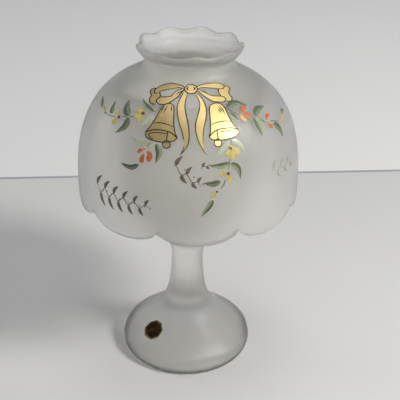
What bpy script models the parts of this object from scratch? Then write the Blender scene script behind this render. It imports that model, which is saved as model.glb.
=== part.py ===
"""Pedestal candle lamp in frosted glass.

A stemmed glass goblet carries a tealight, and a dome-shaped glass shade rests on the goblet's lip.
Units are metres and +Z is up. The origin is the centre of the foot's resting ring, and the front faces -Y.
Azimuths are measured about the lamp's axis from the front (-Y) towards +X.
"""
import math

import bmesh
import bpy
from mathutils import Matrix, Vector

MM = 0.001
GAP = 0.4 * MM                    # clearance between pieces that touch on the real lamp
MERGE = 0.01 * MM

# Shade: dome
SHADE_RADIUS = 62.5 * MM
SHADE_WALL = 2.7 * MM
DOME_BASE_Z = 111.1 * MM          # the widest level, and the height of the notches in the lower edge
DOME_RISE = 69.5 * MM             # from the widest level to where the dome's curve would close
DOME_POWER = 2.7                  # exponent of the superellipse: 2 is an ellipse, more is squarer
DOME_ROWS = 8
SHADE_SEGMENTS = 72

# Shade: neck and ruffled collar
NECK_RADIUS = 24.0 * MM
NECK_TOP_Z = 186.1 * MM           # the crease under the cup-shaped collar
NECK_FILLET = 13.0 * MM           # how far outside the neck's radius it has run out into the dome
COLLAR_RADIUS = 27.9 * MM
COLLAR_TOP_Z = 192.6 * MM
RUFFLE_RISE = 0.7 * MM
RUFFLE_FLARE = 0.9 * MM

# Shade: the same number of ruffles on the collar as lobes on the lower edge, one above the other
PETAL_COUNT = 9
PETAL_AZIMUTH = math.radians(6.4)     # the middle of a lobe, and the crest of a ruffle
NOTCH_AZIMUTH = PETAL_AZIMUTH - math.pi / PETAL_COUNT

# Shade: scalloped lower edge
LOBE_DEPTH = 7.7 * MM
LOBE_REACH = 22.0 * MM            # how far above the notches the wall follows the lobes
LOBE_TURN_IN = 1.2 * MM           # how far a lobe's tip leans inwards
NOTCH_TUCK = 0.6 * MM             # how far the wall dips inwards above a notch
LOBE_SHARPNESS = 2.2
LOBE_FULLNESS = 0.55

# Pedestal
LIP_RADIUS = 37.5 * MM            # to the middle of the goblet's rounded lip
LIP_THICKNESS = 3.0 * MM
BOWL_FLOOR_Z = 86.5 * MM
BOWL_FLOOR_RADIUS = 20.5 * MM
STEM_RADIUS = 9.35 * MM
FOOT_RADIUS = 39.3 * MM
FOOT_EDGE_Z = 5.2 * MM
FOOT_TOP_Z = 40.0 * MM            # where the foot has become the stem
RESTING_RING = (32.5 * MM, 36.6 * MM)
FOOT_HOLLOW_Z = 5.0 * MM
PEDESTAL_SEGMENTS = 40
LIP_STEPS = 4

# Tealight
CUP_RIM_RADIUS = 19.0 * MM
CUP_BASE_RADIUS = 18.2 * MM
CUP_HEIGHT = 14.0 * MM
CUP_WALL = 0.5 * MM
WAX_TOP = 12.0 * MM               # heights in the tealight are above the bowl's floor
SUSTAINER_RADIUS = 6.0 * MM
SUSTAINER_THICKNESS = 0.5 * MM
SLEEVE_HEIGHT = 3.0 * MM
SLEEVE_WALL = 0.6 * MM
WICK_RADIUS = 0.7 * MM
WICK_TOP = 21.0 * MM
WICK_LEAN = 0.6 * MM
TEALIGHT_SEGMENTS = 24

# Foil seal on the foot
SEAL_AZIMUTH = math.radians(-46.0)
SEAL_ORBIT = 27.3 * MM            # from the lamp's axis to the middle of the seal
SEAL_SIZE = 11.8 * MM             # across the flats of its octagon
SEAL_THICKNESS = 0.5 * MM
SEAL_SIDES = 8
SEAL_RINGS = 3


def clear_scene():
    for obj in list(bpy.data.objects):
        bpy.data.objects.remove(obj, do_unlink=True)


def new_collection(name):
    collection = bpy.data.collections.new(name)
    bpy.context.scene.collection.children.link(collection)
    return collection


def principled(name, color, roughness, metallic=0.0, transmission=0.0):
    """A plain material of one colour."""
    material = bpy.data.materials.new(name)
    material.use_nodes = True
    shader = material.node_tree.nodes["Principled BSDF"]
    shader.inputs["Base Color"].default_value = (*color, 1.0)
    shader.inputs["Roughness"].default_value = roughness
    shader.inputs["Metallic"].default_value = metallic
    shader.inputs["Transmission Weight"].default_value = transmission
    return material


def add_object(name, mesh, collection, material, parent=None):
    obj = bpy.data.objects.new(name, mesh)
    collection.objects.link(obj)
    mesh.materials.append(material)
    obj.parent = parent
    return obj


def turned(name, profile, segments, collection, material, parent=None, closed=False):
    """A profile of (radius, height) points, spun about +Z by a Screw modifier.

    The points run down the outer side, so that the faces point outwards.
    """
    edges = [(i, i + 1) for i in range(len(profile) - 1)]
    if closed:
        edges.append((len(profile) - 1, 0))
    mesh = bpy.data.meshes.new(name)
    mesh.from_pydata([(r, 0.0, z) for r, z in profile], edges, [])
    obj = add_object(name, mesh, collection, material, parent)
    screw = obj.modifiers.new("Turn", "SCREW")
    screw.steps = segments
    screw.render_steps = segments
    screw.use_merge_vertices = True
    screw.merge_threshold = MERGE
    screw.use_smooth_shade = True
    return obj


def smooth_curve(points, steps):
    """Catmull-Rom curve through (radius, height) points, with that many steps between neighbours."""
    ends = [2 * Vector(points[0]) - Vector(points[1]), 2 * Vector(points[-1]) - Vector(points[-2])]
    p = [ends[0], *(Vector(q) for q in points), ends[1]]
    curve = []
    for i in range(1, len(p) - 2):
        for k in range(steps):
            t = k / steps
            linear = p[i + 1] - p[i - 1]
            square = 2 * p[i - 1] - 5 * p[i] + 4 * p[i + 1] - p[i + 2]
            cube = 3 * p[i] - p[i - 1] - 3 * p[i + 1] + p[i + 2]
            curve.append(tuple(p[i] + 0.5 * (linear * t + square * t * t + cube * t ** 3)))
    curve.append(tuple(points[-1]))
    return curve


def arc(centre, radius, start, end, steps):
    """Points on a circle in the profile's plane, from angle start to end, in degrees."""
    angles = [math.radians(start + (end - start) * k / steps) for k in range(steps + 1)]
    return [(centre[0] + radius * math.cos(a), centre[1] + radius * math.sin(a)) for a in angles]


def azimuth_of(x, y):
    """Azimuth about +Z of a point, from the front (-Y) towards +X."""
    return math.atan2(x, -y)


def at_azimuth(radius, azimuth, z):
    return Vector((radius * math.sin(azimuth), -radius * math.cos(azimuth), z))


# ---------------------------------------------------------------- shade


def dome_point(angle):
    """Point and outward normal on the dome's outer curve; angle 0 is the widest level, 90 degrees the crown."""
    power = 2.0 / DOME_POWER
    across = math.cos(angle) ** power
    up = math.sin(angle) ** power
    normal = Vector((across ** (DOME_POWER - 1) / SHADE_RADIUS, up ** (DOME_POWER - 1) / DOME_RISE))
    return Vector((SHADE_RADIUS * across, DOME_BASE_Z + DOME_RISE * up)), normal.normalized()


def dome_angle_where(test):
    """The dome angle at which test, which is true near the widest level, turns false."""
    low, high = 0.0, math.pi / 2
    for _ in range(60):
        middle = (low + high) / 2
        if test(middle):
            low = middle
        else:
            high = middle
    return low


def shade_profile():
    """The shade's outer skin as (radius, height) points, from the collar's edge down to the notches."""
    joint = dome_angle_where(lambda a: dome_point(a)[0].x > NECK_RADIUS + NECK_FILLET)
    meets = dome_point(joint)[0]
    collar = smooth_curve([
        (COLLAR_RADIUS, COLLAR_TOP_Z),
        (COLLAR_RADIUS + 0.3 * MM, COLLAR_TOP_Z - 1.8 * MM),
        (COLLAR_RADIUS - 1.3 * MM, COLLAR_TOP_Z - 4.6 * MM),
        (NECK_RADIUS, NECK_TOP_Z),
        (NECK_RADIUS + 0.5 * MM, NECK_TOP_Z - 2.9 * MM),
        (NECK_RADIUS + 1.9 * MM, NECK_TOP_Z - 5.6 * MM),
        (NECK_RADIUS + 4.6 * MM, NECK_TOP_Z - 7.7 * MM),
        (NECK_RADIUS + 9.0 * MM, meets.y + 2.3 * MM),
        tuple(meets),
    ], 2)
    angles = [joint * (1 - k / DOME_ROWS) for k in range(1, DOME_ROWS)]
    dome = [tuple(dome_point(a)[0]) for a in angles]
    return collar + dome + [(SHADE_RADIUS, DOME_BASE_Z)]


def petal_wave(azimuth):
    """1 in the middle of a lobe or on the crest of a ruffle, -1 between two."""
    return math.cos(PETAL_COUNT * (azimuth - PETAL_AZIMUTH))


def lobe_at(azimuth):
    """How far down a lobe reaches, from 0 at a notch to 1 at the middle of a lobe."""
    turn = (azimuth - NOTCH_AZIMUTH) * PETAL_COUNT / (2 * math.pi) % 1.0
    return (1 - abs(2 * turn - 1) ** LOBE_SHARPNESS) ** LOBE_FULLNESS


def scalloped(radius, z, azimuth):
    """Moves a point of the plain skin so that the lower edge has its lobes."""
    share = max(0.0, 1 - (z - DOME_BASE_Z) / LOBE_REACH) ** 2
    crease = (0.5 - 0.5 * petal_wave(azimuth)) ** 3
    z -= share * LOBE_DEPTH * lobe_at(azimuth)
    below = max(0.0, DOME_BASE_Z - z) / LOBE_DEPTH
    radius -= LOBE_TURN_IN * below ** 2 + NOTCH_TUCK * crease * share ** 2
    return radius, z


def ruffled(radius, z, azimuth):
    """Moves a point of the plain skin so that the collar's edge is ruffled."""
    share = max(0.0, (z - NECK_TOP_Z) / (COLLAR_TOP_Z - NECK_TOP_Z)) ** 1.5
    wave = petal_wave(azimuth)
    return radius + share * RUFFLE_FLARE * wave, z + share * RUFFLE_RISE * wave


def make_shade(collection, material):
    """The turned skin, scalloped and ruffled by rule, and thickened inwards."""
    skin = turned("shade_skin", shade_profile(), SHADE_SEGMENTS, collection, material)
    graph = bpy.context.evaluated_depsgraph_get()
    mesh = bpy.data.meshes.new_from_object(skin.evaluated_get(graph))
    bpy.data.objects.remove(skin, do_unlink=True)
    mesh.name = "glass_shade"
    mesh.transform(Matrix.Rotation(NOTCH_AZIMUTH - math.pi / 2, 4, "Z"))
    for vertex in mesh.vertices:
        azimuth = azimuth_of(vertex.co.x, vertex.co.y)
        radius, z = math.hypot(vertex.co.x, vertex.co.y), vertex.co.z
        radius, z = scalloped(*ruffled(radius, z, azimuth), azimuth)
        vertex.co = at_azimuth(radius, azimuth, z)
    mesh.materials.clear()
    shade = add_object("glass_shade", mesh, collection, material)
    wall = shade.modifiers.new("Wall", "SOLIDIFY")
    wall.thickness = SHADE_WALL
    wall.offset = -1.0
    wall.use_even_offset = True
    return shade


# ---------------------------------------------------------------- pedestal


def lip_centre():
    """Middle of the goblet's rounded lip, placed so that the shade's inside rests on it."""
    standoff = SHADE_WALL + GAP + LIP_THICKNESS / 2

    def middle(angle):
        point, normal = dome_point(angle)
        return point - standoff * normal

    return middle(dome_angle_where(lambda a: middle(a).x > LIP_RADIUS))


def bowl_inside(lip):
    """Goblet's inside, from the middle of its floor up to the lip."""
    wall = lip.x - LIP_THICKNESS / 2
    return [(0.0, BOWL_FLOOR_Z)] + smooth_curve([
        (BOWL_FLOOR_RADIUS, BOWL_FLOOR_Z),
        (26.6 * MM, BOWL_FLOOR_Z + 5.0 * MM),
        (31.0 * MM, BOWL_FLOOR_Z + 16.0 * MM),
        (34.6 * MM, BOWL_FLOOR_Z + 36.0 * MM),
        (wall, lip.y),
    ], 2)[:-1]


def outside_curve(lip):
    """Goblet, stem and foot from outside, from under the lip down to the foot's edge."""
    wall = lip.x + LIP_THICKNESS / 2
    return smooth_curve([
        (wall, lip.y),
        (38.4 * MM, 130.0 * MM),
        (34.4 * MM, 104.5 * MM),
        (25.0 * MM, 85.5 * MM),
        (14.4 * MM, 75.6 * MM),
        (STEM_RADIUS + 0.7 * MM, 68.5 * MM),
        (STEM_RADIUS, 60.0 * MM),
        (10.1 * MM, 47.5 * MM),
        (12.2 * MM, 36.5 * MM),
        (17.0 * MM, 27.0 * MM),
        (25.2 * MM, 20.0 * MM),
        (33.2 * MM, 14.2 * MM),
        (37.8 * MM, 9.8 * MM),
        (FOOT_RADIUS, FOOT_EDGE_Z),
    ], 2)


def foot_underside():
    """From the foot's edge to the middle of its shallow hollow."""
    inner, outer = RESTING_RING
    return [
        (FOOT_RADIUS - 0.8 * MM, 1.6 * MM),
        (outer, 0.0),
        (inner, 0.0),
        (inner - 3.0 * MM, 1.4 * MM),
        (inner - 14.0 * MM, 0.8 * FOOT_HOLLOW_Z),
        (0.0, FOOT_HOLLOW_Z),
    ]


def make_pedestal(collection, material):
    lip = lip_centre()
    over_lip = arc(lip, LIP_THICKNESS / 2, 180, 0, LIP_STEPS)
    profile = bowl_inside(lip) + over_lip + outside_curve(lip)[1:] + foot_underside()
    return turned("pedestal", profile, PEDESTAL_SEGMENTS, collection, material)


# ---------------------------------------------------------------- tealight


def make_cup(collection, material, holder):
    """Thin tapered cup, open at the top."""
    inside = CUP_WALL + GAP
    profile = [
        (0.0, inside),
        (CUP_BASE_RADIUS - CUP_WALL, inside),
        (CUP_RIM_RADIUS - CUP_WALL, GAP + CUP_HEIGHT),
        (CUP_RIM_RADIUS, GAP + CUP_HEIGHT),
        (CUP_BASE_RADIUS, GAP),
        (0.0, GAP),
    ]
    return turned("tealight_cup", profile, TEALIGHT_SEGMENTS, collection, material, holder)


def sustainer_floor():
    """Height of the sustainer's underside above the bowl's floor."""
    return 2 * GAP + CUP_WALL


def sleeve_radii():
    """Bore and outer radius of the sleeve that grips the wick."""
    bore = WICK_RADIUS + GAP
    return bore, bore + SLEEVE_WALL


def make_sustainer(collection, material, holder):
    """Flat disc with a short sleeve round the wick."""
    floor = sustainer_floor()
    bore, sleeve = sleeve_radii()
    profile = [
        (bore, floor + SLEEVE_HEIGHT),
        (sleeve, floor + SLEEVE_HEIGHT),
        (sleeve, floor + SUSTAINER_THICKNESS),
        (SUSTAINER_RADIUS, floor + SUSTAINER_THICKNESS),
        (SUSTAINER_RADIUS, floor),
        (bore, floor),
    ]
    return turned("wick_sustainer", profile, TEALIGHT_SEGMENTS, collection, material, holder, closed=True)


def make_wax(collection, material, holder):
    """Wax block with a stepped bore that clears the sustainer and the wick."""
    floor = sustainer_floor()
    bore, sleeve = sleeve_radii()
    disc_top = floor + SUSTAINER_THICKNESS + GAP
    sleeve_top = floor + SLEEVE_HEIGHT + GAP
    taper = (CUP_RIM_RADIUS - CUP_BASE_RADIUS) / CUP_HEIGHT
    base = CUP_BASE_RADIUS - CUP_WALL - GAP
    profile = [
        (bore, WAX_TOP),
        (base + taper * (WAX_TOP - floor), WAX_TOP),
        (base, floor),
        (SUSTAINER_RADIUS + GAP, floor),
        (SUSTAINER_RADIUS + GAP, disc_top),
        (sleeve + GAP, disc_top),
        (sleeve + GAP, sleeve_top),
        (bore, sleeve_top),
    ]
    return turned("candle_wax", profile, TEALIGHT_SEGMENTS, collection, material, holder, closed=True)


def make_wick(collection, material, holder):
    """Round wick, straight in the wax and leaning a little above it."""
    curve = bpy.data.curves.new("wick", "CURVE")
    curve.dimensions = "3D"
    curve.bevel_depth = WICK_RADIUS
    curve.bevel_resolution = 2
    curve.use_fill_caps = True
    above = WICK_TOP - WAX_TOP
    points = [(0.0, sustainer_floor()), (0.0, WAX_TOP), (0.3, WAX_TOP + above / 2), (1.0, WICK_TOP)]
    spline = curve.splines.new("POLY")
    spline.points.add(len(points) - 1)
    for point, (lean, z) in zip(spline.points, points):
        point.co = (lean * WICK_LEAN, 0.0, z, 1.0)
    obj = bpy.data.objects.new("wick", curve)
    collection.objects.link(obj)
    curve.materials.append(material)
    obj.parent = holder
    return obj


# ---------------------------------------------------------------- foil seal


def foot_surface(radius, profile):
    """Height and outward normal of the foot's top at a radius, read along its outline."""
    for (r1, z1), (r2, z2) in zip(profile, profile[1:]):
        if z2 < FOOT_TOP_Z and r1 <= radius <= r2:
            t = (radius - r1) / (r2 - r1)
            return z1 + t * (z2 - z1), Vector((z1 - z2, r2 - r1)).normalized()
    raise ValueError("the seal is not on the foot")


def seal_outline(k):
    """Corner k of the seal's outline, in its own plane: across the foot and down its slope."""
    turn = 2 * math.pi * (k + 0.5) / SEAL_SIDES
    corner = SEAL_SIZE / 2 / math.cos(math.pi / SEAL_SIDES)
    return corner * math.sin(turn), corner * math.cos(turn)


def seal_vertex(across, down, profile):
    """A point of the seal, wrapped on the foot with a gap under it."""
    middle_normal = foot_surface(SEAL_ORBIT, profile)[1]
    radius = SEAL_ORBIT + down * middle_normal.y
    z, normal = foot_surface(radius, profile)
    azimuth = SEAL_AZIMUTH + across / SEAL_ORBIT
    return at_azimuth(radius + GAP * normal.x, azimuth, z + GAP * normal.y)


def make_seal(collection, material, profile):
    """Octagonal foil wrapped on the foot's curve, in rings about its middle."""
    bm = bmesh.new()
    centre = bm.verts.new(seal_vertex(0.0, 0.0, profile))
    rings = []
    for ring in range(1, SEAL_RINGS + 1):
        share = ring / SEAL_RINGS
        corners = [seal_outline(k) for k in range(SEAL_SIDES)]
        rings.append([bm.verts.new(seal_vertex(share * a, share * d, profile)) for a, d in corners])
    for k in range(SEAL_SIDES):
        after = (k + 1) % SEAL_SIDES
        bm.faces.new((centre, rings[0][k], rings[0][after]))
        for inner, outer in zip(rings, rings[1:]):
            bm.faces.new((inner[k], outer[k], outer[after], inner[after]))
    bm.faces.ensure_lookup_table()
    bm.normal_update()
    if bm.faces[0].normal.z < 0:
        bmesh.ops.reverse_faces(bm, faces=bm.faces)
    mesh = bpy.data.meshes.new("foil_seal")
    bm.to_mesh(mesh)
    bm.free()
    seal = add_object("foil_seal", mesh, collection, material)
    thickness = seal.modifiers.new("Thickness", "SOLIDIFY")
    thickness.thickness = SEAL_THICKNESS
    thickness.offset = 1.0
    return seal


def main():
    clear_scene()
    lamp = new_collection("candle_lamp")
    glass = (0.86, 0.86, 0.84)
    make_shade(lamp, principled("shade_glass", glass, 0.5, transmission=0.6))
    make_pedestal(lamp, principled("pedestal_glass", glass, 0.5, transmission=0.6))
    make_seal(lamp, principled("seal_foil", (0.12, 0.08, 0.04), 0.3, metallic=0.9), outside_curve(lip_centre()))

    tealight = bpy.data.objects.new("tealight_axis", None)
    tealight.location = (0.0, 0.0, BOWL_FLOOR_Z)
    lamp.objects.link(tealight)
    make_cup(lamp, principled("cup_aluminium", (0.82, 0.82, 0.83), 0.3, metallic=1.0), tealight)
    make_sustainer(lamp, principled("sustainer_steel", (0.6, 0.6, 0.6), 0.4, metallic=1.0), tealight)
    make_wax(lamp, principled("candle_wax", (0.93, 0.91, 0.86), 0.55), tealight)
    make_wick(lamp, principled("wick_cotton", (0.88, 0.86, 0.8), 0.9), tealight)


main()
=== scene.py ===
"""Looks of the frosted-glass pedestal candle lamp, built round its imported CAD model.

Metres, +Z up, the painted front faces -Y. Azimuths run about the lamp's axis from the front towards +X.
The turned and scalloped shapes repeat the CAD's rules, at a finer pitch and with rounded edges.
The painted motif is laid out in millimetres on the unrolled dome: around it at its widest girth from
the front, and up its outer curve from the widest level.
"""

from math import cos, dist, hypot, pi, radians, sin, sqrt, tan

import bmesh
import bpy
import numpy as np
from mathutils import Matrix, Vector
from mathutils.geometry import delaunay_2d_cdt


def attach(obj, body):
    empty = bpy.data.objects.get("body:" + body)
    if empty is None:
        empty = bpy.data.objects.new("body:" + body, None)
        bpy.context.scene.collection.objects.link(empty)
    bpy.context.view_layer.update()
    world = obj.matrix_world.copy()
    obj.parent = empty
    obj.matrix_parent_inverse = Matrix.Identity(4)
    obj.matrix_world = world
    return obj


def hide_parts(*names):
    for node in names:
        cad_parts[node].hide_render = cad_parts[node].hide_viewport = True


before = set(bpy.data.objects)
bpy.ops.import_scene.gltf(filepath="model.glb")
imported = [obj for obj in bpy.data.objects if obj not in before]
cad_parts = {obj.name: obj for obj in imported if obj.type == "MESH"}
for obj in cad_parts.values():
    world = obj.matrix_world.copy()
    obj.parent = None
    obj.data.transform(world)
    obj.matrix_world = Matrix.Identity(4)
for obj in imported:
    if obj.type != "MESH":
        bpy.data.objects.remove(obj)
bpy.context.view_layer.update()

MM = 0.001
GAP = 0.4 * MM  # between pieces that rest on each other

# Shade, as in the CAD
SHADE_RADIUS = 62.5 * MM
SHADE_WALL = 2.7 * MM
DOME_BASE_Z = 111.1 * MM
DOME_RISE = 69.5 * MM
DOME_POWER = 2.7
NECK_RADIUS = 24.0 * MM
NECK_TOP_Z = 186.1 * MM
NECK_FILLET = 13.0 * MM
COLLAR_RADIUS = 27.9 * MM
COLLAR_TOP_Z = 192.6 * MM
RUFFLE_RISE = 0.7 * MM
RUFFLE_FLARE = 0.9 * MM
PETAL_COUNT = 9
PETAL_AZIMUTH = radians(6.4)
NOTCH_AZIMUTH = PETAL_AZIMUTH - pi / PETAL_COUNT
LOBE_DEPTH = 7.7 * MM
LOBE_REACH = 22.0 * MM
LOBE_TURN_IN = 1.2 * MM
NOTCH_TUCK = 0.6 * MM
LOBE_SHARPNESS = 2.2
LOBE_FULLNESS = 0.55

# Only here: the wall thins a little towards the collar's edge, and both edges are rolled
RIM_WALL = 2.1 * MM
ROLL_STEPS = 8
ROLL_STRETCH = 0.8  # how far a rolled edge stands out, as a share of half the wall

# Pedestal, as in the CAD
LIP_RADIUS = 37.5 * MM
LIP_THICKNESS = 3.0 * MM
BOWL_FLOOR_Z = 86.5 * MM
BOWL_FLOOR_RADIUS = 20.5 * MM
STEM_RADIUS = 9.35 * MM
FOOT_RADIUS = 39.3 * MM
FOOT_EDGE_Z = 5.2 * MM
FOOT_TOP_Z = 40.0 * MM
FOOT_HOLLOW_Z = 5.0 * MM
RESTING_RING = (32.5 * MM, 36.6 * MM)

# Tealight, heights above the bowl's floor
CUP_RIM_RADIUS = 19.0 * MM
CUP_BASE_RADIUS = 18.2 * MM
CUP_HEIGHT = 14.0 * MM
CUP_WALL = 0.5 * MM
RIB_COUNT = 40
RIB_HEIGHT = 0.10 * MM
WAX_TOP = 12.0 * MM
SUSTAINER_RADIUS = 6.0 * MM
WICK_RADIUS = 0.7 * MM
WICK_TOP = 21.0 * MM

SEAL_AZIMUTH = radians(-46.0)
SEAL_ORBIT = 27.3 * MM
SEAL_SIZE = 11.8 * MM
SEAL_SIDES = 8
SEAL_CUTS = 4  # pieces that each side is cut in

# Mesh pitch of the visual model
PETAL_STEPS = 30  # columns of the shade in one petal
TURN_STEPS = 160
PAINT_PITCH = 1.3  # mm between the points inside a painted area
FILLET_V = 72.0  # mm up the dome, where the neck's fillet starts to matter
PAINT_DEPTH = 0.08  # mm that a painted shell reaches into the glass
PAINT_CREASE = radians(35)  # painted edges sharper than this stay crisp
ON_AXIS = 1e-7  # a radius below this is a point on the axis


# ---- meshes


def placed(name, data):
    obj = bpy.data.objects.new(name, data)
    bpy.context.scene.collection.objects.link(obj)
    return obj


def shade_faces(mesh, smooth):
    for polygon in mesh.polygons:
        polygon.use_smooth = smooth


def add_piece(name, mesh, body, material, replaced=()):
    """A finished piece: rides on a body, has its material, and stands for CAD nodes."""
    shade_faces(mesh, True)
    mesh.materials.append(material)
    obj = placed(name, mesh)
    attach(obj, body)
    if replaced:
        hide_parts(*replaced)


def mesh_of(name, verts, faces):
    mesh = bpy.data.meshes.new(name)
    mesh.from_pydata([tuple(v) for v in verts], [], faces)
    mesh.validate()
    return mesh


def at_azimuth(radius, azimuth, z):
    return Vector((radius * sin(azimuth), -radius * cos(azimuth), z))


def smooth_curve(points, steps, closed=False):
    """Catmull-Rom curve through 2D points."""
    p = [Vector(q) for q in points]
    if closed:
        p = [p[-1], *p, p[0], p[1]]
    else:
        p = [2 * p[0] - p[1], *p, 2 * p[-1] - p[-2]]
    curve = []
    for i in range(1, len(p) - 2):
        for k in range(steps):
            t = k / steps
            linear = p[i + 1] - p[i - 1]
            square = 2 * p[i - 1] - 5 * p[i] + 4 * p[i + 1] - p[i + 2]
            cube = 3 * p[i] - p[i - 1] - 3 * p[i + 1] + p[i + 2]
            curve.append(tuple(p[i] + 0.5 * (linear * t + square * t * t + cube * t ** 3)))
    if not closed:
        curve.append(tuple(points[-1]))
    return curve


def arc(centre, radius, start, end, steps):
    angles = [radians(start + (end - start) * k / steps) for k in range(steps + 1)]
    return [(centre[0] + radius * cos(a), centre[1] + radius * sin(a)) for a in angles]


def between(a, b):
    """Faces between two rings of as many points."""
    n = len(a)
    return [(a[k], b[k], b[(k + 1) % n], a[(k + 1) % n]) for k in range(n)]


def lathe(name, profile, steps, wave=None):
    """Closed solid turned from a profile of (radius, z).

    The profile starts and ends on the axis, or closes on itself. wave(radius, z, azimuth) moves a
    point, for ribs.
    """
    verts, rings = [], []
    for r, z in profile:
        if r < ON_AXIS:
            rings.append([len(verts)] * steps)
            verts.append((0.0, 0.0, z))
            continue
        ring = []
        for k in range(steps):
            azimuth = 2 * pi * k / steps
            rr, zz = wave(r, z, azimuth) if wave else (r, z)
            ring.append(len(verts))
            verts.append(tuple(at_azimuth(rr, azimuth, zz)))
        rings.append(ring)
    faces = []
    loops = list(zip(rings, rings[1:]))
    if profile[0][0] > ON_AXIS:
        loops.append((rings[-1], rings[0]))
    for a, b in loops:
        for corners in between(a, b):
            face = list(dict.fromkeys(corners))
            if len(face) > 2:
                faces.append(face)
    mesh = mesh_of(name, verts, faces)
    outward(mesh)
    return mesh


def outward(mesh):
    """Makes the normals of closed shells point outwards."""
    bm = bmesh.new()
    bm.from_mesh(mesh)
    bmesh.ops.recalc_face_normals(bm, faces=bm.faces)
    bm.to_mesh(mesh)
    bm.free()


# ---- shade


def dome_point(angle):
    """Point and outward normal on the dome's outer curve; angle 0 is the widest level."""
    power = 2.0 / DOME_POWER
    across = cos(angle) ** power
    up = sin(angle) ** power
    normal = Vector((across ** (DOME_POWER - 1) / SHADE_RADIUS, up ** (DOME_POWER - 1) / DOME_RISE))
    return Vector((SHADE_RADIUS * across, DOME_BASE_Z + DOME_RISE * up)), normal.normalized()


def dome_angle_where(test):
    """The steepest angle on the dome where the test still holds."""
    low, high = 0.0, pi / 2
    for _ in range(60):
        middle = (low + high) / 2
        if test(middle):
            low = middle
        else:
            high = middle
    return low


def petal_wave(azimuth):
    """1 at the middle of a lobe, -1 at a notch."""
    return cos(PETAL_COUNT * (azimuth - PETAL_AZIMUTH))


def lobe_at(azimuth):
    """How far the edge hangs: 0 at a notch, 1 at the middle of a lobe."""
    turn = (azimuth - NOTCH_AZIMUTH) * PETAL_COUNT / (2 * pi) % 1.0
    return (1 - abs(2 * turn - 1) ** LOBE_SHARPNESS) ** LOBE_FULLNESS


def scalloped(radius, z, azimuth):
    share = max(0.0, 1 - (z - DOME_BASE_Z) / LOBE_REACH) ** 2
    crease = (0.5 - 0.5 * petal_wave(azimuth)) ** 3
    z -= share * LOBE_DEPTH * lobe_at(azimuth)
    below = max(0.0, DOME_BASE_Z - z) / LOBE_DEPTH
    radius -= LOBE_TURN_IN * below ** 2 + NOTCH_TUCK * crease * share ** 2
    return radius, z


def ruffled(radius, z, azimuth):
    share = max(0.0, (z - NECK_TOP_Z) / (COLLAR_TOP_Z - NECK_TOP_Z)) ** 1.5
    wave = petal_wave(azimuth)
    return radius + share * RUFFLE_FLARE * wave, z + share * RUFFLE_RISE * wave


def skin_point(radius, z, azimuth):
    radius, z = scalloped(*ruffled(radius, z, azimuth), azimuth)
    return at_azimuth(radius, azimuth, z)


def resampled(points, pitch):
    """Points at an even pitch along a polyline."""
    p = np.array(points, float)
    along = np.concatenate([[0], np.cumsum(np.hypot(*np.diff(p, axis=0).T))])
    count = max(2, round(along[-1] / pitch))
    at = np.linspace(0, along[-1], count + 1)
    return [(float(np.interp(s, along, p[:, 0])), float(np.interp(s, along, p[:, 1]))) for s in at]


def shade_skin(collar_pitch, dome_pitch):
    """The shade's plain outer skin, as (radius, z) from the collar's edge to the notches' level."""
    joint = dome_angle_where(lambda a: dome_point(a)[0].x > NECK_RADIUS + NECK_FILLET)
    meets = dome_point(joint)[0]
    collar = smooth_curve([
        (COLLAR_RADIUS, COLLAR_TOP_Z),
        (COLLAR_RADIUS + 0.3 * MM, COLLAR_TOP_Z - 1.8 * MM),
        (COLLAR_RADIUS - 1.3 * MM, COLLAR_TOP_Z - 4.6 * MM),
        (NECK_RADIUS, NECK_TOP_Z),
        (NECK_RADIUS + 0.5 * MM, NECK_TOP_Z - 2.9 * MM),
        (NECK_RADIUS + 1.9 * MM, NECK_TOP_Z - 5.6 * MM),
        (NECK_RADIUS + 4.6 * MM, NECK_TOP_Z - 7.7 * MM),
        (NECK_RADIUS + 9.0 * MM, meets.y + 2.3 * MM),
        tuple(meets),
    ], 10)
    samples = 200
    dome = [tuple(dome_point(joint * (1 - k / samples))[0]) for k in range(1, samples + 1)]
    return resampled(collar, collar_pitch)[:-1] + resampled([tuple(meets)] + dome, dome_pitch)


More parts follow.
